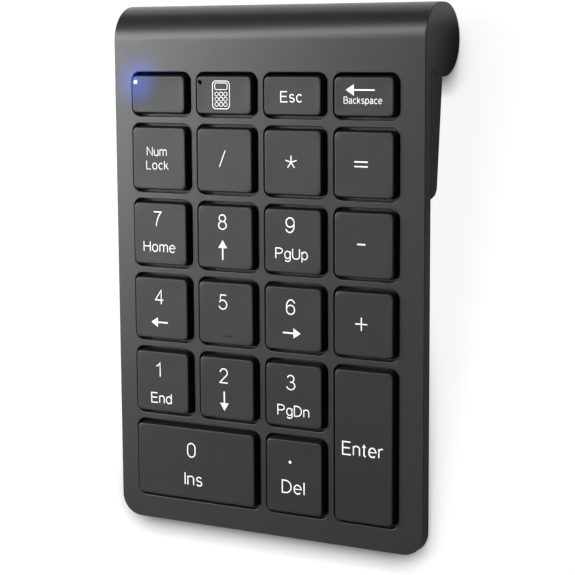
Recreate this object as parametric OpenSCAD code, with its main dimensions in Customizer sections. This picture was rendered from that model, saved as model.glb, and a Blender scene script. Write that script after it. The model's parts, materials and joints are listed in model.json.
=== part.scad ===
// Wireless numeric keypad: a thin plate of 22 low-profile keys that curls into a battery barrel
// at the back. Every piece is drawn in the plate frame, where x runs to the right, y runs from the
// front edge to the back, and z = 0 is the top of the plate. in_use() then tilts it to stand on a desk.

/* [Case] */
// Width of the case
case_w = 86; // [84:0.5:96]
// Height of the side walls of the top cover
side_h = 3.3; // [3.2:0.1:3.6]
// Radius of the front corners
corner_r = 5.5; // [4:0.5:7]
// Thickness of the top plate
skin_t = 1.2; // [1:0.1:1.3]
// Thickness of the side walls
wall_t = 1.6; // [1.4:0.1:1.8]
// Angle between the plate and the desk
tilt = 7.5; // [6.5:0.25:8.5]

/* [Barrel] */
// Radius of the rounded battery barrel
barrel_r = 8.7; // [8.6:0.1:9]
// How much taller than round the barrel is
barrel_drop = 2.4; // [1.5:0.1:3]
// Thickness of the barrel wall
barrel_wall = 1.3; // [1.2:0.05:1.4]
// How far the battery door runs in from the left end
door_length = 58; // [57.5:0.5:60]

/* [Keys] */
// Distance from one key to the next
pitch = 19; // [19:0.05:19.2]
// Width of a single key cap at its top
cap_w = 15.5; // [15:0.1:15.8]
// How much wider a cap is at its base, on each side
cap_draft = 0.3; // [0.2:0.05:0.4]
// Gap between the top of a cap and its window
window_gap = 0.9; // [0.8:0.05:1]
// Depth of the caps in the small back row
back_row_d = 9.2; // [8.8:0.1:9.6]
// Gap between the back row and the first full row
back_row_gap = 3.6; // [3.5:0.1:3.8]
// Depth of the caps in the front row
front_row_d = 18.4; // [17.5:0.1:19]
// Distance from the front edge of the case to the front row
front_margin = 6.9; // [6.5:0.1:7.5]
// How far the block of keys sits left of the middle
key_shift = 0.65; // [0:0.05:0.8]
// Height of the cap tops above the plate
cap_rise = 1.45; // [1.2:0.05:1.6]
// Travel of a key
key_travel = 1.3; // [1.1:0.05:1.3]

/* [Feet] */
// Diameter of the two front feet
foot_d = 8; // [6:0.5:9]
// How far the rear feet stand out of the barrel
rear_foot_h = 0.5; // [0.4:0.1:0.8]

/* [Hidden] */

$fn = 48;
slack = 0.05;            // gap between pieces that are only laid together
eps = 0.02;              // how far a cutter runs past the face it cuts

// keys
key_gap = pitch - cap_w;
front_row_y = front_margin + front_row_d / 2;
first_row_y = front_margin + front_row_d + key_gap + cap_w / 2;
back_row_y = first_row_y + 3 * pitch + cap_w / 2 + back_row_gap + back_row_d / 2;
cap_skin = 1;            // thickness of a cap's top
cap_wall = 0.8;          // thickness of a cap's sides
cap_bottom = -1.3;       // underside of a cap, at rest
cap_ceiling = cap_rise - cap_skin;
cap_corner = 1.3;
window_corner = 2.2;

function col_x(c) = (c - 1.5) * pitch - key_shift;
function row_y(r) = r == 0 ? back_row_y : r == 5 ? front_row_y : first_row_y + (4 - r) * pitch;
function row_d(r) = r == 0 ? back_row_d : r == 5 ? front_row_d : cap_w;

wide_key = [col_x(0.5), row_y(5), pitch + cap_w, front_row_d];
tall_d = cap_w + key_gap + front_row_d;
tall_key = [col_x(3), front_margin + tall_d / 2, cap_w, tall_d];
// each key is [x, y, width, depth], by rows from the back
KEYS = concat(
    [for (r = [0:3], c = [0:3]) [col_x(c), row_y(r), cap_w, row_d(r)]],
    [for (c = [0:2]) [col_x(c), row_y(4), cap_w, cap_w]],
    [tall_key, wide_key, [col_x(2), row_y(5), cap_w, front_row_d]]);

// layers under the keys, as heights in the plate frame
membrane_top = -2.7;
membrane_t = 0.3;
plate_t = 0.4;
sheet_bottom = membrane_top - membrane_t - plate_t;
pan_t = 1.2;
pan_bottom = sheet_bottom - pan_t;
toe = [4.7, 0.63];       // length and rise of the slope under the front edge of the pan
inner_gap = 0.1;         // between the walls of the top cover and what sits inside them
stack_front = wall_t + 0.6;
stack_back = 113.6;
stack_w = case_w - 2 * wall_t - 0.4;

// barrel and the wedge in front of it
barrel_y = 122.7;
upper_z = -barrel_r;
lower_z = -barrel_r - barrel_drop;
wedge_y = 85.7;
wedge_wall = 1.3;
wedge_slope = 0.104;
wedge_edge = [2, 6.85];  // how far back and how deep the chamfered front edge of the wedge goes
door_x = -case_w / 2 + door_length;
tongue_t = 0.5;
tongue_h = 0.6;

// how the keypad stands
lift = barrel_r + rear_foot_h - barrel_y * sin(tilt) - lower_z * cos(tilt);
back_reach = barrel_y * cos(tilt) - lower_z * sin(tilt) + barrel_r;
front_foot = [case_w / 2 - 9, 9.5];

// electronics in the wedge
board_size = [73.8, 20.4, 1];
board_top = -4.4;
board_y = 103.2;
board_bottom = board_top - board_size[2];
lamp_inset = [1.1, 1.55];   // from the left and back edges of a cap to its lamp hole
lamp_r = 0.5;
switch_place = [23, 101];
switch_throw = 2;
tail_x = 6;
tail_w = 10;

// screws
screw_r = 0.8;
screw_head_r = 1.5;
screw_head_h = 0.7;
boss_r = 1.5;
middle_screws = [[col_x(0.5), row_y(2) - pitch / 2], [col_x(2.5), row_y(2) - pitch / 2],
    [col_x(0.5), row_y(3) - pitch / 2], [col_x(1.5), row_y(4) - (cap_w + key_gap) / 2]];
rear_screw = [39.3, 98];
rear_boss_r = 2.3;
rear_joint_z = -5;       // where the rear bosses of the two covers meet
rear_seat_z = -7;        // where the heads of the rear screws sit

// key mechanism
link_l = 9.5;
link_t = 0.7;
link_low = membrane_top + 0.5;
link_high = cap_ceiling - 0.5;
link_angle = asin((link_high - link_low) / (link_l - link_t));
pin_r = 0.3;
wire_r = 0.4;
wire_bar = 6.3;          // from the middle of a long key to the bar of its stabilizer
wire_arm = 5;
wire_z = -0.4;
hook_z = -2.1;
hook_reach = 14.2;

// battery
cell_r = 7.1;
cell_l = 49.5;
nub_r = 2.7;
nub_l = 1;
cell_z = -9.8;
contact_t = 0.4;
cell_end = door_x - 0.6; // tip of the cell, against the positive contact
spring_wire_r = 0.35;
spring_turns = 4;

module in_use() translate([0, -back_reach / 2, lift]) rotate([tilt, 0, 0]) children();

module rounded_rect(w, d, r) {
    square([w - 2 * r, d], center = true);
    square([w, d - 2 * r], center = true);
    for (x = [-1, 1], y = [-1, 1]) translate([x * (w / 2 - r), y * (d / 2 - r)]) circle(r);
}

// a block with rounded upright edges, from one height to another
module block(place, w, d, r, low, high)
    translate([place[0], place[1], low]) linear_extrude(high - low) rounded_rect(w, d, r);

// a plain box centred on a place, from one height to another
module box(place, w, d, low, high)
    translate([place[0] - w / 2, place[1] - d / 2, low]) cube([w, d, high - low]);

module post(place, r, low, high) translate([place[0], place[1], low]) cylinder(r = r, h = high - low);

// a profile drawn in (y, z), run along x
module along_x(from, to) translate([from, 0, 0]) rotate([90, 0, 90]) linear_extrude(to - from) children();

// outline of the case, drawn in by an inset, with round front corners only
module case_outline(inset, back) {
    w = case_w - 2 * inset;
    r = corner_r - inset;
    translate([-w / 2, corner_r]) square([w, back - corner_r]);
    translate([-w / 2 + r, inset]) square([w - 2 * r, corner_r]);
    for (x = [-1, 1]) translate([x * (w / 2 - r), corner_r]) circle(r);
}

module barrel_profile(r) {
    for (z = [upper_z, lower_z]) translate([barrel_y, z]) circle(r);
    translate([barrel_y - r, lower_z]) square([2 * r, barrel_drop]);
}

module barrel_ring() difference() {
    barrel_profile(barrel_r);
    barrel_profile(barrel_r - barrel_wall);
}

// keeps the part of a profile inside a rectangle given by two corners in (y, z)
module kept(low, high) intersection() {
    children();
    translate(low) square(high - low);
}

function wedge_z(y) = -wedge_edge[1] - (y - wedge_y - wedge_edge[0]) * wedge_slope;

module wedge_profile(wall) polygon([
    [wedge_y + wall, -side_h + 1], [wedge_y + wall * 1.2, -side_h - 0.6],
    [wedge_y + 0.8 + wall, -wedge_edge[1] + 0.95 + wall * 0.6], [wedge_y + wedge_edge[0] + wall * 0.6,
    -wedge_edge[1] + wall], [barrel_y, wedge_z(barrel_y) + wall], [barrel_y, -side_h + 1]]);

// grooves in both covers that the tongues of the battery door run in
module door_grooves() for (y = [-1, 1])
    along_x(-case_w / 2 - eps, door_x + 2 * slack)
        translate([barrel_y + y * (barrel_r - barrel_wall / 2) - tongue_t / 2 - slack, lower_z - eps])
            square([tongue_t + 2 * slack, tongue_h + 2 * slack + eps]);

module top_cover() color([0.2, 0.2, 0.21]) in_use() difference() {
    union() {
        translate([0, 0, -skin_t]) linear_extrude(skin_t) case_outline(0, barrel_y);
        difference() {
            translate([0, 0, -side_h]) linear_extrude(side_h) case_outline(0, barrel_y);
            translate([0, 0, -side_h - eps]) linear_extrude(side_h) case_outline(wall_t, barrel_y + eps);
        }
        along_x(case_w / 2 - wall_t, case_w / 2) barrel_profile(barrel_r);
        along_x(-case_w / 2, -case_w / 2 + wall_t)
            kept([0, lower_z], [2 * barrel_y, 0]) barrel_profile(barrel_r);
        along_x(-case_w / 2 + wall_t, case_w / 2 - wall_t)
            kept([barrel_y, lower_z], [2 * barrel_y, 0]) barrel_ring();
        for (s = middle_screws) post(s, boss_r, sheet_bottom + slack, -skin_t + eps);
        for (x = [-1, 1]) post([x * rear_screw[0], rear_screw[1]], boss_r, rear_joint_z, -skin_t + eps);
    }
    for (k = KEYS)
        block([k[0], k[1]], k[2] + 2 * window_gap, k[3] + 2 * window_gap, window_corner, -skin_t - eps, eps);
    for (s = middle_screws) post(s, screw_r, sheet_bottom - eps, -1);
    for (x = [-1, 1]) post([x * rear_screw[0], rear_screw[1]], screw_r, rear_joint_z - eps, -1);
    door_grooves();
}

module bottom_cover() color([0.16, 0.16, 0.17]) in_use() difference() {
    union() {
        translate([0, 0, pan_bottom]) linear_extrude(pan_t)
            case_outline(wall_t + inner_gap, wedge_y + wedge_wall);
        difference() {
            along_x(-case_w / 2, case_w / 2) difference() {
                kept([0, -2 * barrel_r], [barrel_y, -side_h - slack]) wedge_profile(0);
                barrel_profile(barrel_r - wedge_wall / 2);
            }
            along_x(-case_w / 2 + wall_t, case_w / 2 - wall_t) wedge_profile(wedge_wall);
            for (side = [0, 1]) mirror([side, 0, 0])
                along_x(case_w / 2 - wall_t - inner_gap, case_w) barrel_profile(barrel_r + slack);
        }
        along_x(-case_w / 2 + wall_t + inner_gap, door_x + 2 * slack)
            kept([0, lower_z], [barrel_y, -skin_t - slack]) barrel_ring();
        along_x(door_x + 2 * slack, case_w / 2 - wall_t - inner_gap) difference() {
            kept([0, -3 * barrel_r], [2 * barrel_y, -skin_t - slack]) barrel_ring();
            translate([barrel_y, lower_z - slack]) square(3 * barrel_r);
        }
        along_x(door_x + 2 * slack, door_x + wedge_wall) {
            kept([0, -3 * barrel_r], [2 * barrel_y, lower_z - slack]) barrel_profile(barrel_r - 0.5);
            kept([0, lower_z - 1], [2 * barrel_y, -skin_t - slack])
                barrel_profile(barrel_r - barrel_wall - slack);
        }
        for (x = [-1, 1]) post([x * rear_screw[0], rear_screw[1]], rear_boss_r,
            wedge_z(rear_screw[1]) + 0.4, rear_joint_z - slack);
        for (x = [-1, 1], y = [97, 109]) post([x * 30, y], 1.5, wedge_z(y) + 0.4, board_bottom);
    }
    for (s = middle_screws) {
        post(s, screw_r + 0.15, pan_bottom - eps, sheet_bottom + eps);
        post(s, screw_head_r + 0.15, pan_bottom - eps, pan_bottom + screw_head_h);
    }
    for (x = [-1, 1]) {
        post([x * rear_screw[0], rear_screw[1]], screw_r + 0.15, -12, rear_joint_z);
        post([x * rear_screw[0], rear_screw[1]], screw_head_r + 0.15, -12, rear_seat_z);
    }
    box([switch_place[0] + switch_throw / 2, switch_place[1]], 4.8, 2.5, -12, board_bottom - 1);
    door_grooves();
    // slope under the front edge, which keeps the pan off the desk
    along_x(-case_w / 2, case_w / 2)
        polygon([[0, pan_bottom - 1], [0, pan_bottom + toe[1]], [toe[0], pan_bottom], [toe[0], pan_bottom - 1]]);
    // room for the back edge of the support plate
    box([0, wedge_y + 1], case_w - 2 * wall_t, 4, sheet_bottom, 0);
}

module battery_door() color([0.16, 0.16, 0.17]) in_use() difference() {
    union() {
        along_x(-case_w / 2, door_x) kept([0, -3 * barrel_r], [2 * barrel_y, lower_z - slack]) barrel_ring();
        along_x(-case_w / 2, -case_w / 2 + wall_t)
            kept([0, -3 * barrel_r], [2 * barrel_y, lower_z - slack]) barrel_profile(barrel_r);
        for (y = [-1, 1]) along_x(-case_w / 2, door_x)
            translate([barrel_y + y * (barrel_r - barrel_wall / 2) - tongue_t / 2, lower_z - 0.5])
                square([tongue_t, tongue_h + 0.5]);
    }
    // finger grip: shallow grooves across the underside
    for (i = [0:4]) translate([-case_w / 2 + 4.5 + i * 1.5, barrel_y, lower_z]) rotate([0, 90, 0])
        rotate_extrude() translate([barrel_r, 0]) circle(0.35);
}

// a cap with a hollow underside. Its lamp hole is left out unless it has a lamp.
module cap(i, lamp = false) in_use() {
    k = KEYS[i];
    w = k[2] + 2 * cap_draft;
    d = k[3] + 2 * cap_draft;
    difference() {
        block([k[0], k[1]], w, d, cap_corner + cap_draft, cap_bottom, cap_rise);
        block([k[0], k[1]], w - 2 * cap_wall, d - 2 * cap_wall, 0.8, cap_bottom - eps, cap_ceiling);
        if (lamp) post(lamp_place(k), lamp_r, cap_ceiling - eps, cap_rise + eps);
    }
}

function lamp_place(k) = [k[0] - k[2] / 2 + lamp_inset[0], k[1] + k[3] / 2 - lamp_inset[1]];

module key_color() color([0.13, 0.13, 0.14]) children();

// prongs under a long cap that keep the bar of its stabilizer in line
module prongs(k, turn) in_use() translate([k[0], k[1], 0]) rotate([0, 0, turn]) for (x = [-9, 9])
    box([x, wire_bar - wire_r - 0.4], 3, 0.45, wire_z - 0.5, cap_ceiling + eps);

module key_blank() key_color() cap(0, true);
module key_calculator() key_color() cap(1, true);
module key_escape() key_color() cap(2);
module key_backspace() key_color() cap(3);
module key_num_lock() key_color() cap(4);
module key_divide() key_color() cap(5);
module key_multiply() key_color() cap(6);
module key_equals() key_color() cap(7);
module key_7() key_color() cap(8);
module key_8() key_color() cap(9);
module key_9() key_color() cap(10);
module key_minus() key_color() cap(11);
module key_4() key_color() cap(12);
module key_5() key_color() union() {
    cap(13);
    // the raised bar that a finger finds
    in_use() block([KEYS[13][0], KEYS[13][1] - 5.6], 2.6, 0.5, 0.2, cap_rise - 0.2, cap_rise + 0.22);
}
module key_6() key_color() cap(14);
module key_plus() key_color() cap(15);
module key_1() key_color() cap(16);
module key_2() key_color() cap(17);
module key_3() key_color() cap(18);
module key_enter() key_color() union() {
    cap(19);
    prongs(tall_key, -90);
}
module key_0() key_color() union() {
    cap(20);
    prongs(wide_key, 0);
}
module key_decimal() key_color() cap(21);

module status_lens() color([0.75, 0.85, 1]) in_use()
    post(lamp_place(KEYS[0]), lamp_r, cap_ceiling - 0.3, cap_rise);

// puts a link mechanism under every key, turned on its side under the shallow back row
module under_each_key() for (k = KEYS) translate([k[0], k[1], 0])
    rotate([0, 0, k[3] < cap_w ? 90 : 0]) {
        $narrow = k[3] < cap_w;
        children();
    }

module link_frame(w, lean) translate([0, 0, (link_low + link_high) / 2]) rotate([lean, 0, 0])
    difference() {
        union() {
            cube([w, link_l, link_t], center = true);
            for (x = [-1, 1]) translate([x * (w / 2 - link_t / 2), 0, 0]) rotate([0, 90, 0])
                cylinder(r = 0.75, h = link_t, center = true, $fn = 24);
        }
        cube([w - 2 * link_t, link_l - 2 * link_t, 2], center = true);
        if (lean > 0) rotate([0, 90, 0]) cylinder(r = pin_r + slack, h = 2 * w, center = true, $fn = 24);
    }

function link_w(narrow) = narrow ? 8 : 10.8;

module outer_scissor_links() color("white") in_use() under_each_key() link_frame(link_w($narrow), link_angle);

module inner_scissor_links() color("gainsboro") in_use() under_each_key() union() {
    w = link_w($narrow) - 2 * link_t - 0.6;
    link_frame(w, -link_angle);
    for (x = [-1, 1]) translate([x * (w / 2 + 0.4), 0, (link_low + link_high) / 2]) rotate([0, 90, 0])
        cylinder(r = pin_r, h = 1.2, center = true, $fn = 24);
}

module rubber_domes() color("ivory") in_use() under_each_key() {
    base = $narrow ? 2.1 : 2.9;
    translate([0, 0, membrane_top]) rotate_extrude($fn = 32) polygon([[0, 0], [base, 0], [base, 0.3],
        [base - 0.5, 0.5], [1.4, 2.2], [1.3, cap_ceiling - membrane_top - slack],
        [0, cap_ceiling - membrane_top - slack]]);
}

// holes that the screws, lamps and hooks need in the sheets under the keys
module sheet_holes(low, high, hook_holes) {
    for (s = middle_screws) post(s, boss_r + 0.2, low, high);
    for (x = [-1, 1]) post([x * rear_screw[0], rear_screw[1]], boss_r + 0.2, low, high);
    for (i = [0, 1]) post(lamp_place(KEYS[i]), 0.9, low, high);
    if (hook_holes) at_hooks() box([0, 0], 1.8, 2.6, low, high);
}

// the four places where the stabilizers hinge, with the hinge line along x
module at_hooks() for (k = [wide_key, tall_key]) translate([k[0], k[1], 0])
    rotate([0, 0, k == wide_key ? 0 : -90])
        for (x = [-1, 1]) translate([x * hook_reach, wire_bar - wire_arm, 0]) children();

module sheet(low, high) translate([0, 0, low]) linear_extrude(high - low) {
    translate([-stack_w / 2, stack_front + corner_r]) square([stack_w, stack_back - stack_front - corner_r]);
    translate([-stack_w / 2 + corner_r, stack_front]) square([stack_w - 2 * corner_r, corner_r + 1]);
    for (x = [-1, 1]) translate([x * (stack_w / 2 - corner_r), stack_front + corner_r]) circle(corner_r);
}

module membrane() color([0.75, 0.8, 0.7]) in_use() difference() {
    sheet(membrane_top - membrane_t, membrane_top);
    sheet_holes(membrane_top - 1, membrane_top + 1, true);
}

module support_plate() color("silver") in_use() difference() {
    union() {
        sheet(sheet_bottom, sheet_bottom + plate_t);
        at_hooks() box([0, 0], 1.2, 2, sheet_bottom, hook_z + 0.9);
    }
    sheet_holes(sheet_bottom - 1, sheet_bottom + 1, false);
    box([tail_x, 98], tail_w + 1, 5, sheet_bottom - 1, sheet_bottom + 1);
    at_hooks() translate([0, 0, hook_z]) rotate([0, 90, 0])
        cylinder(r = wire_r + slack, h = 4, center = true, $fn = 32);
}

// bent wire of a long key, lying along x: a bar in the cap, two arms and two ends in the hooks
module stabilizer(k, turn) in_use() translate([k[0], k[1], 0]) rotate([0, 0, turn]) {
    reach = hook_reach - 1.2;
    arm_l = norm([wire_arm, wire_z - hook_z]);
    translate([0, wire_bar, wire_z]) rotate([0, 90, 0])
        cylinder(r = wire_r, h = 2 * (reach + wire_r), center = true, $fn = 32);
    for (x = [-1, 1]) translate([x * reach, wire_bar, wire_z]) {
        rotate([90 + atan((wire_z - hook_z) / wire_arm), 0, 0]) cylinder(r = wire_r, h = arm_l, $fn = 32);
        translate([-x * wire_r, -wire_arm, hook_z - wire_z]) rotate([0, x * 90, 0])
            cylinder(r = wire_r, h = 2.2 + wire_r, $fn = 32);
    }
}

module zero_stabilizer() color("silver") stabilizer(wide_key, 0);
module enter_stabilizer() color("silver") stabilizer(tall_key, -90);

module circuit_board() color("darkgreen") in_use()
    block([0, board_y], board_size[0], board_size[1], 1, board_bottom, board_top);

module controller_chip() color([0.1, 0.1, 0.1]) in_use() box([-8, 105], 5, 5, board_bottom - 0.9, board_bottom);

module tail_connector() color("ivory") in_use() box([tail_x, 105], tail_w + 2, 3, board_top, board_top + 0.8);

// printed tail that dives from the membrane through the support plate into its connector
module membrane_tail() color([0.75, 0.8, 0.7]) in_use() along_x(tail_x - tail_w / 2, tail_x + tail_w / 2) {
    low = board_top + 0.35;
    start = membrane_top - membrane_t;
    t = 0.15;
    polygon([[96, start], [97, start], [99.6, low + t], [103.5, low + t], [103.5, low],
        [99.5, low], [96.9, start - t], [96, start - t]]);
}

module lamp(i) in_use() box(lamp_place(KEYS[i]), 1.6, 0.8, board_top, board_top + 0.6);

module status_led() color([0.7, 0.8, 1]) lamp(0);
module num_lock_led() color([0.9, 0.9, 0.85]) lamp(1);

module switch_body() color("silver") in_use() box([switch_place[0] + switch_throw / 2, switch_place[1]],
    7, 3.4, board_bottom - 1.1, board_bottom);

module switch_knob() color([0.1, 0.1, 0.1]) in_use() union() {
    low = wedge_z(switch_place[1]) - 0.6;
    box(switch_place, 2.4, 2, low, board_bottom - 1.1 - slack);
    for (x = [-0.7, 0, 0.7]) box([switch_place[0] + x, switch_place[1]], 0.3, 2, low - 0.2, low + 0.1);
}

module battery_cell() color("goldenrod") in_use() translate([cell_end, barrel_y, cell_z])
    rotate([0, -90, 0]) {
        cylinder(r = nub_r, h = nub_l + 1);
        translate([0, 0, nub_l]) cylinder(r = cell_r, h = cell_l);
    }

// a contact plate across the barrel, at one x
module contact(x) along_x(x, x + contact_t) translate([barrel_y, cell_z]) rounded_rect(9, 9, 1);

module positive_contact() color("silver") in_use() contact(cell_end + slack);

negative_x = -case_w / 2 + wall_t + inner_gap + slack;
module negative_contact() color("silver") in_use() contact(negative_x);

// coil spring between the negative contact and the cell: a round wire swept along a tapering helix
module battery_spring() color("silver") in_use() {
    steps = 20;
    sides = 8;
    start = negative_x + contact_t + spring_wire_r;
    length = cell_end - nub_l - cell_l - slack - spring_wire_r - start;
    rings = spring_turns * steps;
    points = [for (i = [0:rings], j = [0:sides - 1])
        let (turn = i / rings, a = i * 360 / steps, b = j * 360 / sides, r = 3.6 - 1.2 * turn)
            [start + length * turn + spring_wire_r * sin(b),
             barrel_y + (r + spring_wire_r * cos(b)) * cos(a),
             cell_z + (r + spring_wire_r * cos(b)) * sin(a)]];
    walls = [for (i = [0:rings - 1], j = [0:sides - 1])
        let (n = (j + 1) % sides)
            [i * sides + j, i * sides + n, (i + 1) * sides + n, (i + 1) * sides + j]];
    ends = [[for (j = [sides - 1:-1:0]) j], [for (j = [0:sides - 1]) rings * sides + j]];
    polyhedron(points, concat(walls, ends));
}

module screw(place, seat, tip) {
    post(place, screw_head_r, seat - screw_head_h, seat);
    post(place, screw_r - slack, seat - eps, tip);
}

module case_screws() color("dimgray") in_use() {
    for (s = middle_screws) screw(s, pan_bottom + screw_head_h, -1.3);
    for (x = [-1, 1]) screw([x * rear_screw[0], rear_screw[1]], rear_seat_z, -1.8);
}

// front feet, level with the desk and cut to the slope of the case
module front_feet() color([0.08, 0.08, 0.08]) difference() {
    for (x = [-1, 1]) translate([x * front_foot[0], front_foot[1] - back_reach / 2, 0])
        cylinder(d = foot_d, h = 4);
    in_use() box([0, 20], 2 * case_w, 80, pan_bottom, 10);
}

// a rear foot between two places along x, flat below and cupped round the barrel above
module rear_foot(from, to) color([0.08, 0.08, 0.08]) difference() {
    y = barrel_y * cos(tilt) - lower_z * sin(tilt) - back_reach / 2;
    translate([from, y - 2.5, 0]) cube([to - from, 5, 2]);
    translate([0, y, barrel_r + rear_foot_h]) rotate([0, 90, 0])
        cylinder(r = barrel_r, h = 2 * case_w, center = true, $fn = 96);
}

module rear_foot_left() rear_foot(-30, -16);
module rear_foot_right() rear_foot(22, 36);

top_cover();
bottom_cover();
battery_door();
key_blank();
key_calculator();
key_escape();
key_backspace();
key_num_lock();
key_divide();
key_multiply();
key_equals();
key_7();
key_8();
key_9();
key_minus();
key_4();
key_5();
key_6();
key_plus();
key_1();
key_2();
key_3();
key_enter();
key_0();
key_decimal();
status_lens();
outer_scissor_links();
inner_scissor_links();
rubber_domes();
membrane();
support_plate();
zero_stabilizer();
enter_stabilizer();
circuit_board();
controller_chip();
tail_connector();
membrane_tail();
status_led();
num_lock_led();
switch_body();
switch_knob();
battery_cell();
positive_contact();
negative_contact();
battery_spring();
case_screws();
front_feet();
rear_foot_left();
rear_foot_right();
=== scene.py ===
"""Looks of the numeric keypad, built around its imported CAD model.

Pieces on the plate are drawn in the plate frame, in millimetres: x to the right, y from the front edge
to the back, z up from the top of the plate. PLATE takes that frame to the desk frame, in metres.
"""
import json
import math

import bmesh
import bpy
from mathutils import Matrix, Vector


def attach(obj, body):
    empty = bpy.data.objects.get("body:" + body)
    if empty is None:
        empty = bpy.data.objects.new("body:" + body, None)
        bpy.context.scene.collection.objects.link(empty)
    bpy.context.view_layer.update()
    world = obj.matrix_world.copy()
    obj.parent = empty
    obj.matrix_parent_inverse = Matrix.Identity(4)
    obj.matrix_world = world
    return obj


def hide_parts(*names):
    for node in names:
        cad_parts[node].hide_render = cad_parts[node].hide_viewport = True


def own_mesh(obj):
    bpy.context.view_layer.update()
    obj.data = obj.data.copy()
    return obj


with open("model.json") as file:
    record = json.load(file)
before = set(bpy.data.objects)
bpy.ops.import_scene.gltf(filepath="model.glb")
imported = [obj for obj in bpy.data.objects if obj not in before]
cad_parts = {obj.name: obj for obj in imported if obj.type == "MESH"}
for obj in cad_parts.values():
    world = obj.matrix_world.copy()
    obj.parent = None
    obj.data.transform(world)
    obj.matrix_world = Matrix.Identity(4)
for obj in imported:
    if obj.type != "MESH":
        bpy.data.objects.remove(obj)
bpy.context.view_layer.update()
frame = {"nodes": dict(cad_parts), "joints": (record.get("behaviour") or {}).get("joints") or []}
MM = 0.001
NODES = frame["nodes"]
scene = bpy.context.scene


# ---------------------------------------------------------------- the plate frame

def plate_axes():
    """Right, back and up along the plate, as the key joints give them."""
    press = next(j for j in frame["joints"] if j["name"] == "key_5_press")
    up = -Vector(press["axis"]).normalized()
    right = Vector((1, 0, 0))
    return right, up.cross(right), up


def reach(node, axis):
    """Lowest and highest place of a CAD node along an axis, in metres."""
    places = [v.co.dot(axis) for v in NODES[node].data.vertices]
    return min(places), max(places)


RIGHT, BACK, UP = plate_axes()
PLATE = Matrix((RIGHT, BACK, UP)).transposed().to_4x4()
PLATE.translation = BACK * reach("top_cover", BACK)[0] + UP * reach("top_cover", UP)[1]
PLATE = PLATE @ Matrix.Scale(MM, 4)
TO_PLATE = PLATE.inverted()


def plate_box(node):
    """Lowest and highest corner of a CAD node in the plate frame, in millimetres."""
    places = [TO_PLATE @ v.co for v in NODES[node].data.vertices]
    return [Vector([pick(p[i] for p in places) for i in range(3)]) for pick in (min, max)]


KEYS = [n for n in NODES if n.startswith("key_")]
KEY_BOX = {key: plate_box(key) for key in KEYS}
WELD_MM = 0.002        # corners of a CAD mesh that are nearer than this are one corner


# ---------------------------------------------------------------- materials

def shader(name, colour, roughness, **sockets):
    """A material with a principled shader, and what is even all over set on its own sockets."""
    material = bpy.data.materials.new(name)
    material.use_nodes = True
    principled = material.node_tree.nodes["Principled BSDF"]
    principled.inputs["Base Color"].default_value = (*colour, 1)
    principled.inputs["Roughness"].default_value = roughness
    for socket, value in sockets.items():
        principled.inputs[socket.replace("_", " ")].default_value = value
    return material


def noise(tree, size_mm, detail=3, stretch=(1, 1, 1)):
    """Noise whose features are about size_mm across, fixed to the piece."""
    place = tree.nodes.new("ShaderNodeTexCoord")
    scale = tree.nodes.new("ShaderNodeMapping")
    scale.inputs["Scale"].default_value = [s / (size_mm * MM) for s in stretch]
    texture = tree.nodes.new("ShaderNodeTexNoise")
    texture.inputs["Scale"].default_value = 1
    texture.inputs["Detail"].default_value = detail
    tree.links.new(place.outputs["Object"], scale.inputs["Vector"])
    tree.links.new(scale.outputs["Vector"], texture.inputs["Vector"])
    return texture.outputs["Fac"]


def spread(tree, value, low, high):
    """Takes the middle of a noise's range to low..high."""
    node = tree.nodes.new("ShaderNodeMapRange")
    node.inputs["From Min"].default_value = 0.3
    node.inputs["From Max"].default_value = 0.7
    node.inputs["To Min"].default_value = low
    node.inputs["To Max"].default_value = high
    tree.links.new(value, node.inputs["Value"])
    return node.outputs["Result"]


def vary_colour(material, size_mm, dark, light):
    """Drifts the base colour between two shades."""
    tree = material.node_tree
    ramp = tree.nodes.new("ShaderNodeValToRGB")
    ramp.color_ramp.elements[0].color = (*dark, 1)
    ramp.color_ramp.elements[1].color = (*light, 1)
    ramp.color_ramp.elements[0].position = 0.3
    ramp.color_ramp.elements[1].position = 0.7
    tree.links.new(noise(tree, size_mm), ramp.inputs["Fac"])
    tree.links.new(ramp.outputs["Color"], tree.nodes["Principled BSDF"].inputs["Base Color"])


def vary_roughness(material, size_mm, low, high, stretch=(1, 1, 1)):
    tree = material.node_tree
    made = spread(tree, noise(tree, size_mm, stretch=stretch), low, high)
    tree.links.new(made, tree.nodes["Principled BSDF"].inputs["Roughness"])


def bump(material, size_mm, height_mm, stretch=(1, 1, 1)):
    """A fine relief of grains about size_mm across."""
    tree = material.node_tree
    node = tree.nodes.new("ShaderNodeBump")
    node.inputs["Strength"].default_value = 1
    node.inputs["Distance"].default_value = height_mm * MM
    tree.links.new(noise(tree, size_mm, detail=2, stretch=stretch), node.inputs["Height"])
    tree.links.new(node.outputs["Normal"], tree.nodes["Principled BSDF"].inputs["Normal"])


def moulded(name, shade, roughness, grain_mm=0.16, depth_mm=0.003, sheen=0.35):
    """Moulded plastic: spark-eroded grain, cloudy gloss, and a slight drift in its shade."""
    material = shader(name, shade, roughness, Specular_IOR_Level=sheen)
    vary_colour(material, 9, [0.96 * s for s in shade], [1.04 * s for s in shade])
    vary_roughness(material, 7, roughness - 0.012, roughness + 0.012)
    bump(material, grain_mm, depth_mm)
    return material


def metal(name, shade, roughness, stretch=(1, 1, 1)):
    material = shader(name, shade, roughness, Metallic=1)
    vary_colour(material, 3, [0.85 * s for s in shade], shade)
    vary_roughness(material, 0.4, roughness - 0.06, roughness + 0.08, stretch)
    bump(material, 0.12, 0.0015, stretch)
    return material


def glowing(name, colour, strength):
    material = shader(name, colour, 0.25, Emission_Strength=strength)
    material.node_tree.nodes["Principled BSDF"].inputs["Emission Color"].default_value = (*colour, 1)
    bump(material, 0.2, 0.001)
    return material


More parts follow.
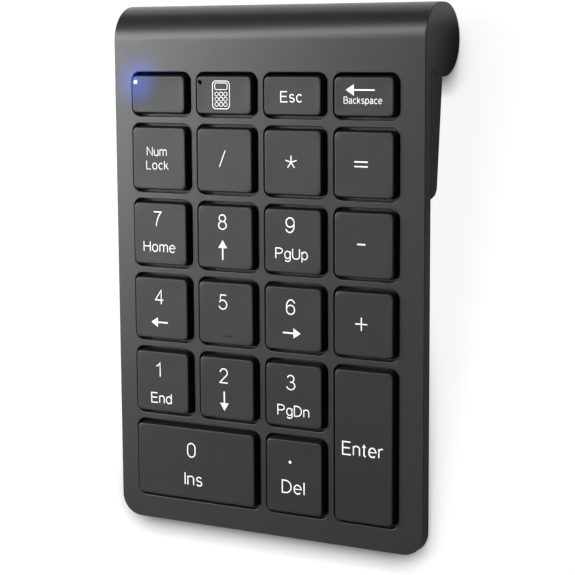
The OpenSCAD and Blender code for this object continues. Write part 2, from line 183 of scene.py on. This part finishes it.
CASE = moulded("case_plastic", (0.0143, 0.0146, 0.0158), 0.33, sheen=0.3)
BASE = moulded("base_plastic", (0.013, 0.0131, 0.0135), 0.5, grain_mm=0.3, depth_mm=0.008)
CAP = moulded("keycap_plastic", (0.0105, 0.0107, 0.0115), 0.4, grain_mm=0.1, depth_mm=0.0015, sheen=0.25)
INK = moulded("legend_ink", (0.88, 0.88, 0.88), 0.5, grain_mm=0.08, depth_mm=0.001)
LENS = glowing("lit_lens", (0.5, 0.66, 1.0), 1.0)
LINK = moulded("link_plastic", (0.7, 0.7, 0.67), 0.35)
DOME = shader("dome_rubber", (0.62, 0.6, 0.52), 0.55, Subsurface_Weight=0.2, Subsurface_Scale=0.001)
vary_roughness(DOME, 1.5, 0.5, 0.62)
bump(DOME, 0.3, 0.004)
FILM = shader("membrane_film", (0.012, 0.012, 0.012), 0.45)
vary_colour(FILM, 4, (0.01, 0.01, 0.01), (0.015, 0.015, 0.015))
bump(FILM, 1.2, 0.004)
SHEET_STEEL = metal("sheet_steel", (0.55, 0.55, 0.56), 0.38, (1, 12, 12))
WIRE_STEEL = metal("wire_steel", (0.62, 0.62, 0.63), 0.25)
NICKEL = metal("nickel_plate", (0.68, 0.65, 0.6), 0.2)
BLACK_ZINC = metal("black_zinc", (0.1, 0.1, 0.105), 0.4)
BOARD = moulded("solder_mask", (0.015, 0.09, 0.035), 0.3, grain_mm=0.6, depth_mm=0.004)
CHIP = moulded("chip_resin", (0.02, 0.02, 0.021), 0.5)
CONNECTOR = moulded("connector_resin", (0.6, 0.57, 0.48), 0.45)
LAMP_LIT = glowing("lit_lamp", (0.45, 0.6, 1.0), 4)
LAMP_OFF = moulded("clear_lamp", (0.7, 0.68, 0.5), 0.2)
CELL = shader("cell_wrap", (0.06, 0.065, 0.07), 0.3, Metallic=0.4)
vary_roughness(CELL, 6, 0.25, 0.36)
bump(CELL, 2, 0.006)
RUBBER = moulded("foot_rubber", (0.018, 0.018, 0.018), 0.8, grain_mm=0.25, depth_mm=0.01, sheen=0.2)


# ---------------------------------------------------------------- making meshes

def add_piece(name, points, faces, material, body):
    """A mesh piece drawn in the plate frame, riding on a body."""
    mesh = bpy.data.meshes.new(name)
    mesh.from_pydata([PLATE @ Vector(p) for p in points], [], faces)
    mesh.validate()
    mesh.materials.append(material)
    for polygon in mesh.polygons:
        polygon.use_smooth = True
    piece = bpy.data.objects.new(name, mesh)
    scene.collection.objects.link(piece)
    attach(piece, body)
    return piece


def soften(piece, width_mm=0, flatten=True):
    """Rounds a piece's sharp edges and shades its flat faces flat."""
    if flatten:
        piece.modifiers.new("weld", "WELD").merge_threshold = WELD_MM * MM
        thin = piece.modifiers.new("flatten", "DECIMATE")
        thin.decimate_type = "DISSOLVE"
        thin.angle_limit = math.radians(0.5)
    if width_mm:
        bevel = piece.modifiers.new("bevel", "BEVEL")
        bevel.width = width_mm * MM
        bevel.segments = 3
        bevel.limit_method = "ANGLE"
        bevel.angle_limit = math.radians(40)
        bevel.miter_outer = "MITER_ARC"
        # with the clamp on, the case's edges shrink to a few microns
        bevel.use_clamp_overlap = False
    shade = piece.modifiers.new("shade", "WEIGHTED_NORMAL")
    shade.mode = "FACE_AREA"
    shade.weight = 80


def dress(node, material, width_mm=0):
    """Gives a CAD node its material and soft edges."""
    piece = NODES[node]
    piece.data.materials.clear()
    piece.data.materials.append(material)
    for polygon in piece.data.polygons:
        polygon.use_smooth = True
        polygon.material_index = 0
    soften(piece, width_mm)


def ring(width, depth, radius, z, steps=8):
    """A rounded rectangle round the origin, as points at one height."""
    points = []
    for corner in range(4):
        x = (width / 2 - radius) * (1 if corner in (0, 3) else -1)
        y = (depth / 2 - radius) * (1 if corner in (0, 1) else -1)
        for step in range(steps + 1):
            angle = (corner + step / steps) * math.pi / 2
            points.append((x + radius * math.cos(angle), y + radius * math.sin(angle), z))
    return points


def loft(rings):
    """Faces that join equal rings of points one above the other, and close both ends."""
    count = len(rings[0])
    faces = [tuple(range(count))[::-1]]
    for level in range(len(rings) - 1):
        for i in range(count):
            j = (i + 1) % count
            low, high = level * count, (level + 1) * count
            faces.append((low + i, low + j, high + j, high + i))
    faces.append(tuple(range((len(rings) - 1) * count, len(rings) * count)))
    return [p for r in rings for p in r], faces


# ---------------------------------------------------------------- key caps

DRAFT = 0.3            # how much narrower a cap is at its top, on each side
CAP_WALL = 0.8
CAP_SKIN = 1.0
CAP_CORNER = 1.3
CAP_EDGE = 0.32        # radius of the edge round a cap's top
TOP_DIP = 0.06         # how far the middle of a cap's top is sunk
EDGE_STEPS = 5
BASE_CHAMFER = 0.1
HOLLOW_CORNER = 0.8
BAR_RISE = 0.22        # how far the bar on the 5 stands above its cap
LAMP_INSET = (1.1, 1.55)  # from the left and back edges of a cap's top to its lamp hole
LAMP_HOLE_R = 0.5
LAMP_HOLE_DEPTH = 1.6


def cap_rings(width, depth, low, high):
    """Rings from the ceiling of a cap's hollow, down its inside, up its outside and over its top."""
    inner_w, inner_d = width - 2 * CAP_WALL, depth - 2 * CAP_WALL
    rings = [ring(inner_w, inner_d, HOLLOW_CORNER, z) for z in (high - CAP_SKIN, low)]
    corner = CAP_CORNER + DRAFT
    rings.append(ring(width - 2 * BASE_CHAMFER, depth - 2 * BASE_CHAMFER, corner - BASE_CHAMFER, low))
    rings.append(ring(width, depth, corner, low + BASE_CHAMFER))
    for step in range(EDGE_STEPS + 1):
        angle = step / EDGE_STEPS * math.pi / 2
        inset = DRAFT + CAP_EDGE * (1 - math.cos(angle))
        z = high - CAP_EDGE * (1 - math.sin(angle))
        rings.append(ring(width - 2 * inset, depth - 2 * inset, CAP_CORNER - CAP_EDGE / 2, z))
    reach_in = min(width, depth) / 2 - DRAFT - CAP_EDGE
    for share in (0.1, 0.25, 0.45, 0.65):
        inset = DRAFT + CAP_EDGE + reach_in * share
        z = high - TOP_DIP * (1 - (1 - share) ** 2)
        rings.append(ring(width - 2 * inset, depth - 2 * inset, max(CAP_CORNER * (1 - share), 0.3), z))
    return rings


def cap_top(key):
    """Height of a cap's top, which is below the top of its box where the bar stands on it."""
    return KEY_BOX[key][1].z - (BAR_RISE if key == "key_5" else 0)


def lamp_place(key):
    """Where the lamp hole of a cap is."""
    low, high = KEY_BOX[key]
    return Vector((low.x + DRAFT + LAMP_INSET[0], high.y - DRAFT - LAMP_INSET[1], high.z))


def drill(piece, place, radius, depth):
    """Cuts a round hole down from a place on a cap's top."""
    points, faces = loft([ring(2 * radius, 2 * radius, radius, z, 6) for z in (-depth, 1)])
    cutter = bpy.data.objects.new("cutter", bpy.data.meshes.new("cutter"))
    cutter.data.from_pydata([PLATE @ (place + Vector(p)) for p in points], [], faces)
    scene.collection.objects.link(cutter)
    cut = piece.modifiers.new("drill", "BOOLEAN")
    cut.object = cutter
    cut.solver = "EXACT"
    bpy.context.view_layer.update()
    done = bpy.data.meshes.new_from_object(piece.evaluated_get(bpy.context.evaluated_depsgraph_get()))
    piece.modifiers.clear()
    piece.data = done
    bpy.data.objects.remove(cutter)


def make_cap(key):
    low, high = KEY_BOX[key]
    points, faces = loft(cap_rings(high.x - low.x, high.y - low.y, low.z, cap_top(key)))
    middle = (low + high) / 2
    points = [(p[0] + middle.x, p[1] + middle.y, p[2]) for p in points]
    piece = add_piece("cap" + key[3:], points, faces, CAP, key)
    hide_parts(key)
    if key in ("key_blank", "key_calculator"):
        drill(piece, lamp_place(key), LAMP_HOLE_R, LAMP_HOLE_DEPTH)
    soften(piece, flatten=False)


def make_bar():
    """The raised bar by which a finger finds the 5."""
    low, high = KEY_BOX["key_5"]
    place = Vector(((low.x + high.x) / 2, (low.y + high.y) / 2 - 5.6, high.z))
    rings = [ring(2.6 - 2 * inset, 0.5 - 2 * inset, 0.25 - inset, z)
             for inset, z in ((0, -0.4), (0, -0.1), (0.03, -0.04), (0.1, -0.01), (0.18, 0))]
    points, faces = loft(rings)
    piece = add_piece("cap_5_bar", [place + Vector(p) for p in points], faces, CAP, "key_5")
    soften(piece, flatten=False)


# ---------------------------------------------------------------- legends

INK_LIFT = 0.012       # how far the ink stands above a cap's top, and how far it reaches in
LETTER_GAP = 0.2       # space between letters, in capital heights


def arc(x, y, rx, ry, start, end, steps=14):
    """Points of an elliptic arc, by its angles in degrees."""
    turns = [math.radians(start + (end - start) * i / steps) for i in range(steps + 1)]
    return [(x + rx * math.cos(a), y + ry * math.sin(a)) for a in turns]


def oval(x, y, rx, ry):
    """A closed line: its first point comes again at its end."""
    return arc(x, y, rx, ry, 90, 450, 24)


def turned(lines, width):
    """The same lines after half a turn."""
    return [[(width - x, 1 - y) for x, y in line] for line in lines]


SIX = [oval(0.27, 0.315, 0.27, 0.315),
       arc(0.3, 0.52, 0.3, 0.48, 32, 180) + [(0.0, 0.315)]]

# each glyph is (width, centre lines), with capitals one unit tall
GLYPHS = {
    "0": (0.54, [arc(0.27, 0.68, 0.27, 0.32, 0, 180) + arc(0.27, 0.32, 0.27, 0.32, 180, 360)
                 + [(0.54, 0.68)]]),
    "1": (0.3, [[(0.0, 0.75), (0.14, 0.83), (0.26, 1.0), (0.26, 0.0)]]),
    "2": (0.54, [arc(0.27, 0.72, 0.25, 0.28, 172, -35) + [(0.03, 0.06), (0.0, 0.0), (0.54, 0.0)]]),
    "3": (0.53, [arc(0.25, 0.76, 0.22, 0.24, 165, -90) + arc(0.25, 0.27, 0.28, 0.27, 90, -165)]),
    "4": (0.57, [[(0.42, 0.0), (0.42, 1.0), (0.0, 0.29), (0.57, 0.29)]]),
    "5": (0.54, [[(0.5, 1.0), (0.12, 1.0), (0.05, 0.5)] + arc(0.26, 0.32, 0.28, 0.32, 140, -162)]),
    "6": (0.54, SIX),
    "7": (0.54, [[(0.0, 1.0), (0.54, 1.0), (0.4, 0.79), (0.28, 0.52), (0.2, 0.24), (0.17, 0.0)]]),
    "8": (0.54, [oval(0.27, 0.77, 0.22, 0.23), oval(0.27, 0.27, 0.27, 0.27)]),
    "9": (0.54, turned(SIX, 0.54)),
    "B": (0.56, [[(0.0, 0.0), (0.0, 1.0), (0.3, 1.0)] + arc(0.3, 0.77, 0.21, 0.23, 90, -90) + [(0.0, 0.54)],
                 [(0.0, 0.54), (0.3, 0.54)] + arc(0.3, 0.27, 0.26, 0.27, 90, -90) + [(0.0, 0.0)]]),
    "D": (0.6, [[(0.0, 0.0), (0.0, 1.0), (0.22, 1.0)] + arc(0.22, 0.5, 0.38, 0.5, 90, -90) + [(0.0, 0.0)]]),
    "E": (0.54, [[(0.54, 1.0), (0.0, 1.0), (0.0, 0.0), (0.56, 0.0)], [(0.0, 0.53), (0.5, 0.53)]]),
    "H": (0.58, [[(0.0, 0.0), (0.0, 1.0)], [(0.58, 0.0), (0.58, 1.0)], [(0.0, 0.53), (0.58, 0.53)]]),
    "I": (0.0, [[(0.0, 0.0), (0.0, 1.0)]]),
    "L": (0.46, [[(0.0, 1.0), (0.0, 0.0), (0.46, 0.0)]]),
    "N": (0.58, [[(0.0, 0.0), (0.0, 1.0), (0.58, 0.0), (0.58, 1.0)]]),
    "P": (0.56, [[(0.0, 0.0), (0.0, 1.0), (0.3, 1.0)] + arc(0.3, 0.74, 0.26, 0.26, 90, -90) + [(0.0, 0.48)]]),
    "U": (0.58, [[(0.0, 1.0), (0.0, 0.28)] + arc(0.29, 0.28, 0.29, 0.28, 180, 360) + [(0.58, 1.0)]]),
    "a": (0.44, [arc(0.21, 0.52, 0.18, 0.21, 165, 0) + [(0.39, 0.1), (0.44, 0.0)],
                 [(0.39, 0.42), (0.2, 0.38)] + arc(0.17, 0.19, 0.17, 0.19, 90, 270)
                 + arc(0.2, 0.2, 0.19, 0.2, 270, 350)]),
    "b": (0.46, [[(0.0, 1.0), (0.0, 0.0)], oval(0.23, 0.365, 0.23, 0.365)]),
    "c": (0.42, [arc(0.23, 0.365, 0.23, 0.365, 42, 318)]),
    "d": (0.46, [[(0.46, 1.0), (0.46, 0.0)], oval(0.23, 0.365, 0.23, 0.365)]),
    "e": (0.48, [[(0.01, 0.39), (0.48, 0.39)] + arc(0.24, 0.365, 0.24, 0.365, 4, 318)]),
    "g": (0.46, [oval(0.23, 0.37, 0.23, 0.36),
                 [(0.46, 0.73), (0.46, -0.06)] + arc(0.235, -0.06, 0.225, 0.21, 0, -155)]),
    "k": (0.4, [[(0.0, 0.0), (0.0, 1.0)], [(0.37, 0.73), (0.0, 0.29)], [(0.14, 0.45), (0.4, 0.0)]]),
    "l": (0.0, [[(0.0, 0.0), (0.0, 1.0)]]),
    "m": (0.7, [[(0.0, 0.0), (0.0, 0.73)], [(0.0, 0.45)] + arc(0.18, 0.53, 0.17, 0.2, 170, 0) + [(0.35, 0.0)],
                [(0.35, 0.45)] + arc(0.53, 0.53, 0.17, 0.2, 170, 0) + [(0.7, 0.0)]]),
    "n": (0.42, [[(0.0, 0.0), (0.0, 0.73)],
                 [(0.0, 0.45)] + arc(0.21, 0.51, 0.21, 0.22, 170, 0) + [(0.42, 0.0)]]),
    "o": (0.48, [oval(0.24, 0.365, 0.24, 0.365)]),
    "p": (0.46, [[(0.0, 0.73), (0.0, -0.28)], oval(0.23, 0.365, 0.23, 0.365)]),
    "r": (0.26, [[(0.0, 0.0), (0.0, 0.73)], [(0.0, 0.42)] + arc(0.22, 0.49, 0.21, 0.24, 170, 75)]),
    "s": (0.4, [arc(0.2, 0.545, 0.17, 0.185, 25, 250, 10) + arc(0.2, 0.19, 0.19, 0.19, 75, -155, 12)]),
    "t": (0.24, [[(0.11, 0.93), (0.11, 0.13)] + arc(0.22, 0.13, 0.11, 0.13, 180, 275, 8),
                 [(0.0, 0.73), (0.24, 0.73)]]),
    "u": (0.42, [[(0.0, 0.73), (0.0, 0.22)] + arc(0.21, 0.22, 0.21, 0.22, 180, 350),
                 [(0.42, 0.73), (0.42, 0.0)]]),
}


def band(line, thick):
    """The two sides of a line of that thickness, with mitred corners."""
    closed = math.dist(line[0], line[-1]) < 1e-6
    points = line[:-1] if closed else line
    left, right = [], []
    for i, point in enumerate(points):
        before = points[i - 1] if closed or i else None
        after = points[(i + 1) % len(points)] if closed or i + 1 < len(points) else None
        ways = []
        for a, b in ((before, point), (point, after)):
            if a and b and math.dist(a, b) > 1e-9:
                ways.append(Vector((b[0] - a[0], b[1] - a[1])).normalized())
        way = sum(ways, Vector((0, 0))).normalized()
        side = Vector((-way.y, way.x))
        wide = thick / 2 / max(side.dot(Vector((-ways[0].y, ways[0].x))), 0.5)
        here = Vector(point)
        left.append(here + side * wide)
        right.append(here - side * wide)
    return left, right, closed


def ink_line(points, faces, line, thick):
    """Adds a closed strip of ink along a line."""
    left, right, closed = band(line, thick)
    count, first = len(left), len(points)
    for height in (-INK_LIFT, INK_LIFT):
        points += [(p.x, p.y, height) for p in left + right]
    low, high = first, first + 2 * count
    for i in range(count if closed else count - 1):
        j = (i + 1) % count
        faces.append((high + i, high + count + i, high + count + j, high + j))
        faces.append((low + i, low + j, low + count + j, low + count + i))
        faces.append((low + i, high + i, high + j, low + j))
        faces.append((low + count + i, low + count + j, high + count + j, high + count + i))
    if not closed:
        last = count - 1
        faces.append((low, low + count, high + count, high))
        faces.append((low + last, high + last, high + count + last, low + count + last))


def ink_shape(points, faces, outline):
    """Adds a closed flat shape of ink."""
    count, first = len(outline), len(points)
    for height in (-INK_LIFT, INK_LIFT):
        points += [(x, y, height) for x, y in outline]
    faces.append(tuple(range(first, first + count))[::-1])
    faces.append(tuple(range(first + count, first + 2 * count)))
    for i in range(count):
        j = (i + 1) % count
        faces.append((first + i, first + j, first + count + j, first + count + i))


def word(text, x, y, height, thick, stretch):
    """Lines of a word centred on a place, with its letters stretched sideways."""
    size = height - thick
    width = sum(GLYPHS[c][0] for c in text) + LETTER_GAP * (len(text) - 1)
    at, lines = -width / 2, []
    for c in text:
        wide, glyph = GLYPHS[c]
        for line in glyph:
            lines.append([(x + (at + px) * size * stretch, y + (py - 0.5) * size) for px, py in line])
        at += wide + LETTER_GAP
    return [(line, thick) for line in lines]


def arrow(x, y, length, way, thick=0.38, head=1.95):
    """An arrow along a way such as (0, 1): the shaft as a line, and the head as an outline."""
    way = Vector(way)
    side = Vector((-way.y, way.x))
    tip = Vector((x, y)) + way * length / 2
    neck = tip - way * head
    tail = Vector((x, y)) - way * length / 2
    shaft = [tuple(tail), tuple(neck + way * 0.1)]
    corners = [tuple(tip), tuple(neck + side * head * 0.64), tuple(neck - side * head * 0.64)]
    return [(shaft, thick)], [corners]


DIGIT = dict(height=3.85, thick=0.29, stretch=1.15)
SMALL = dict(height=2.75, thick=0.26, stretch=1.31)
LARGE = dict(height=3.4, thick=0.3, stretch=1.33)
SHIFT = -0.72          # how far legends sit left of the middle of a cap


def boxed(w, h, r, x, y):
    """A closed rounded rectangle as a line."""
    line = [(px + x, py + y) for px, py, _ in ring(w, h, r, 0, 4)]
    return line + [line[0]]


def dash(x, y, dx, dy, thick):
    """A straight stroke centred on a place."""
    return ([(x - dx / 2, y - dy / 2), (x + dx / 2, y + dy / 2)], thick)


def calculator():
    """A small picture of a calculator: its case, display and nine round keys."""
    lines = [(boxed(4.8, 6.75, 0.9, 0, 0), 0.19), (boxed(3.5, 1.6, 0.4, 0, 2.1), 0.17)]
    for row in range(3):
        for column in (-1, 0, 1):
            lines.append((oval(column * 1.25, 0.2 - row * 1.25, 0.5, 0.48), 0.15))
    return [([(x + SHIFT, y + 0.05) for x, y in line], thick) for line, thick in lines], []


def star():
    spokes = [math.radians(90 + 72 * i) for i in range(5)]
    middle = (SHIFT + 0.35, 0.1)
    lines = [[middle, (middle[0] + 1.6 * math.cos(a), middle[1] + 1.6 * math.sin(a))] for a in spokes]
    return [(line, 0.27) for line in lines], []


def backspace():
    lines, shapes = arrow(SHIFT - 0.2, 1.55, 7.5, (-1, 0), thick=0.33, head=2.1)
    return lines + word("Backspace", SHIFT + 0.5, -0.85, height=1.68, thick=0.17, stretch=1.16), shapes


def num_lock():
    size = dict(height=2.3, thick=0.2, stretch=1.29)
    return word("Num", SHIFT + 0.07, 1.75, **size) + word("Lock", SHIFT + 0.2, -1.65, **size), []


def numbered(digit, y, below, low, x=0, low_x=0, size=SMALL):
    """A digit at height y above a word, or above an arrow that points along a way."""
    lines, shapes = word(digit, SHIFT + x, y, **DIGIT), []
    if isinstance(below, str):
        lines += word(below, SHIFT + low_x, low, **size)
    elif below:
        more, shapes = arrow(SHIFT + low_x, low, 4.9, below)
        lines += more
    return lines, shapes


def full_stop():
    return word("Del", SHIFT + 0.47, -2.6, **LARGE), [oval(SHIFT - 0.37, 3.7, 0.36, 0.36)[:-1]]


LEGENDS = {
    "calculator": calculator,
    "escape": lambda: (word("Esc", SHIFT + 0.48, -0.22, height=2.7, thick=0.27, stretch=1.33), []),
    "backspace": backspace,
    "num_lock": num_lock,
    "divide": lambda: ([dash(SHIFT + 0.17, 0.45, 1.7, 4.1, 0.25)], []),
    "multiply": star,
    "equals": lambda: ([dash(SHIFT + 0.05, 0.15 + y, 3.5, 0, 0.33) for y in (-0.55, 0.55)], []),
    "minus": lambda: ([dash(SHIFT + 0.1, 0.2, 2.2, 0, 0.38)], []),
    "plus": lambda: ([dash(SHIFT + 0.15, 0.12, 3.2, 0, 0.3), dash(SHIFT + 0.15, 0.12, 0, 3.2, 0.3)], []),
    "7": lambda: numbered("7", 3.77, "Home", -3.3, low_x=0.42),
    "8": lambda: numbered("8", 3.83, (0, 1), -3.12),
    "9": lambda: numbered("9", 3.93, "PgUp", -3.0, low_x=0.35),
    "4": lambda: numbered("4", 2.86, (-1, 0), -3.62, x=0.15, low_x=0.1),
    "5": lambda: numbered("5", 2.86, None, 0, x=-0.1),
    "6": lambda: numbered("6", 2.92, (1, 0), -3.48, low_x=0.28),
    "1": lambda: numbered("1", 3.1, "End", -4.25, x=-0.42, low_x=0.3),
    "2": lambda: numbered("2", 3.22, (0, -1), -3.22, x=-0.08),
    "3": lambda: numbered("3", 3.26, "PgDn", -3.78, low_x=0.6),
    "0": lambda: numbered("0", 3.5, "Ins", -4.02, x=-0.45, low_x=0.08, size=LARGE),
    "enter": lambda: (word("Enter", SHIFT + 0.5, -0.52, height=3.45, thick=0.33, stretch=1.25), []),
    "decimal": full_stop,
}


def make_legend(key):
    if key[4:] not in LEGENDS:
        return
    lines, shapes = LEGENDS[key[4:]]()
    low, high = KEY_BOX[key]
    middle = (low + high) / 2
    points, faces = [], []
    for line, thick in lines:
        ink_line(points, faces, line, thick)
    for outline in shapes:
        ink_shape(points, faces, outline)
    placed = [(x + middle.x, y + middle.y, z + cap_top(key)) for x, y, z in points]
    piece = add_piece("legend" + key[3:], placed, faces, INK, key)
    for polygon in piece.data.polygons:
        polygon.use_smooth = False


for key in KEYS:
    make_cap(key)
    make_legend(key)
make_bar()


# ---------------------------------------------------------------- the case and what is in it

dress("top_cover", CASE, 0.25)
dress("bottom_cover", BASE, 0.15)
dress("battery_door", BASE, 0.12)
dress("status_lens", LENS)
dress("membrane", FILM)
dress("support_plate", SHEET_STEEL)
dress("zero_stabilizer", WIRE_STEEL)
dress("enter_stabilizer", WIRE_STEEL)
dress("circuit_board", BOARD)
dress("controller_chip", CHIP, 0.08)
dress("tail_connector", CONNECTOR, 0.1)
dress("membrane_tail", FILM)
dress("status_led", LAMP_LIT, 0.08)
dress("num_lock_led", LAMP_OFF, 0.08)
dress("switch_body", SHEET_STEEL, 0.15)
dress("switch_knob", CHIP, 0.08)
dress("battery_cell", CELL, 0.3)
dress("positive_contact", NICKEL, 0.08)
dress("negative_contact", NICKEL, 0.08)
dress("battery_spring", NICKEL)
dress("case_screws", BLACK_ZINC, 0.12)
dress("front_feet", RUBBER, 0.25)
dress("rear_foot_left", RUBBER, 0.2)
dress("rear_foot_right", RUBBER, 0.2)


def under_key(node, key, name, material):
    """The share of a group node that lies under one key, as a piece of its own on the case."""
    low, high = KEY_BOX[key]
    source = bmesh.new()
    source.from_mesh(NODES[node].data)
    bmesh.ops.remove_doubles(source, verts=source.verts, dist=WELD_MM * MM)
    away = []
    for vertex in source.verts:
        place = TO_PLATE @ vertex.co
        if not (low.x < place.x < high.x and low.y < place.y < high.y):
            away.append(vertex)
    bmesh.ops.delete(source, geom=away, context="VERTS")
    mesh = bpy.data.meshes.new(name)
    source.to_mesh(mesh)
    source.free()
    mesh.materials.clear()
    mesh.materials.append(material)
    for polygon in mesh.polygons:
        polygon.use_smooth = True
        polygon.material_index = 0
    piece = bpy.data.objects.new(name, mesh)
    scene.collection.objects.link(piece)
    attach(piece, "case")
    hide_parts(node)
    soften(piece)
    foot = PLATE @ Vector(((low.x + high.x) / 2, (low.y + high.y) / 2, plate_box("membrane")[1].z))
    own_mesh(piece)


for key in KEYS:
    under_key("outer_scissor_links", key, "outer_link" + key[3:], LINK)
    under_key("inner_scissor_links", key, "inner_link" + key[3:], LINK)
    under_key("rubber_domes", key, "dome" + key[3:], DOME)


# ---------------------------------------------------------------- stage, light and camera

def add_light(name, size, power, place):
    """A rectangular soft light, width by height in metres, aimed at the keypad."""
    light = bpy.data.lights.new(name, "AREA")
    light.shape = "RECTANGLE"
    light.size, light.size_y = size
    light.energy = power
    lamp = bpy.data.objects.new(name, light)
    lamp.location = place
    lamp.rotation_mode = "QUATERNION"
    lamp.rotation_quaternion = (-Vector(place)).to_track_quat("-Z", "Y")
    scene.collection.objects.link(lamp)


def seen_only(tree, seen, unseen, output):
    """Shows one shader to the camera and another to everything that it lights."""
    path = tree.nodes.new("ShaderNodeLightPath")
    mix = tree.nodes.new("ShaderNodeMixShader")
    tree.links.new(path.outputs["Is Camera Ray"], mix.inputs["Fac"])
    tree.links.new(unseen.outputs[0], mix.inputs[1])
    tree.links.new(seen.outputs[0], mix.inputs[2])
    tree.links.new(mix.outputs[0], output.inputs["Surface"])


def add_shader(tree, kind, colour):
    node = tree.nodes.new(kind)
    node.inputs["Color"].default_value = (*colour, 1)
    return node


FLOOR_HALF = 6         # half the width of the floor, in metres
SHADOW_REACH = 0.008   # how far the dim part of the floor reaches from the keypad, in metres
SHADOW_WAY = (0.45, 0.65, 0.6)   # where the floor's even light comes from: right, back and above
SHADOW_RANGE = (0.42, 0.9)       # openness at which the floor is darkest and fully bright
FLOOR_LIGHT = (0.08, 1.06)       # its strength at those two
PAINT_SHARE = 0.13     # share of what the camera sees of the floor that is lit by the lights


def make_floor():
    """A pale floor. Most of what the camera sees of it is even light, dimmed in front of the keypad."""
    mesh = bpy.data.meshes.new("floor")
    half = FLOOR_HALF
    corners = [(-half, -half, 0), (half, -half, 0), (half, half, 0), (-half, half, 0)]
    mesh.from_pydata(corners, [], [(0, 1, 2, 3)])
    material = bpy.data.materials.new("pale_floor")
    material.use_nodes = True
    tree = material.node_tree
    tree.nodes.clear()
    output = tree.nodes.new("ShaderNodeOutputMaterial")
    paint = add_shader(tree, "ShaderNodeBsdfDiffuse", (0.85, 0.85, 0.85))
    even = add_shader(tree, "ShaderNodeEmission", (1, 1, 1))
    looking = tree.nodes.new("ShaderNodeCombineXYZ")
    for axis, part in zip("XYZ", SHADOW_WAY):
        looking.inputs[axis].default_value = part
    near = tree.nodes.new("ShaderNodeAmbientOcclusion")
    near.inputs["Distance"].default_value = SHADOW_REACH
    tree.links.new(looking.outputs["Vector"], near.inputs["Normal"])
    dim = tree.nodes.new("ShaderNodeMapRange")
    for sockets, values in (("From", SHADOW_RANGE), ("To", FLOOR_LIGHT)):
        for end, value in zip(("Min", "Max"), values):
            dim.inputs[sockets + " " + end].default_value = value
    tree.links.new(near.outputs["AO"], dim.inputs["Value"])
    tree.links.new(dim.outputs["Result"], even.inputs["Strength"])
    seen = tree.nodes.new("ShaderNodeMixShader")
    seen.inputs["Fac"].default_value = PAINT_SHARE
    tree.links.new(even.outputs[0], seen.inputs[1])
    tree.links.new(paint.outputs[0], seen.inputs[2])
    seen_only(tree, seen, paint, output)
    mesh.materials.append(material)
    floor = bpy.data.objects.new("floor", mesh)
    scene.collection.objects.link(floor)


def make_world():
    world = bpy.data.worlds.new("studio")
    world.use_nodes = True
    tree = world.node_tree
    tree.nodes.clear()
    output = tree.nodes.new("ShaderNodeOutputWorld")
    seen = add_shader(tree, "ShaderNodeBackground", (0.95, 0.95, 0.95))
    unseen = add_shader(tree, "ShaderNodeBackground", (0.045, 0.045, 0.046))
    seen_only(tree, seen, unseen, output)
    scene.world = world


make_floor()
make_world()
add_light("key_light", (0.5, 0.36), 6.2, (-0.59, 0.04, 0.49))
add_light("front_fill", (0.8, 0.8), 1.4, (-0.36, -0.32, 0.77))
add_light("right_fill", (0.5, 0.5), 0.35, (0.6, 0.1, 0.45))
add_light("band_light", (0.9, 0.06), 6.5, (-0.358, 0.27, 0.71))

# the halo round the lit lamp
glow = bpy.data.lights.new("lamp_glow", "SPOT")
glow.color = (0.02, 0.14, 1.0)
glow.energy = 0.17
glow.spot_size = math.radians(60)
glow.spot_blend = 1
glow.shadow_soft_size = 2 * MM
glow_lamp = bpy.data.objects.new("lamp_glow", glow)
glow_lamp.visible_glossy = False
glow_lamp.location = PLATE @ (lamp_place("key_blank") + Vector((0, 0, 12)))
glow_lamp.rotation_euler = (math.atan2(-UP.y, UP.z), 0, 0)
scene.collection.objects.link(glow_lamp)

camera = bpy.data.objects.new("camera", bpy.data.cameras.new("camera"))
camera.data.sensor_width = 36
camera.data.lens = 105.9
camera.location = (0.2022, 0.0081, 0.3752)
camera.rotation_euler = [math.radians(a) for a in (0.161, 28.381, 3.713)]
camera.data.clip_start = 0.01
scene.collection.objects.link(camera)
scene.camera = camera
scene.view_settings.view_transform = "Standard"
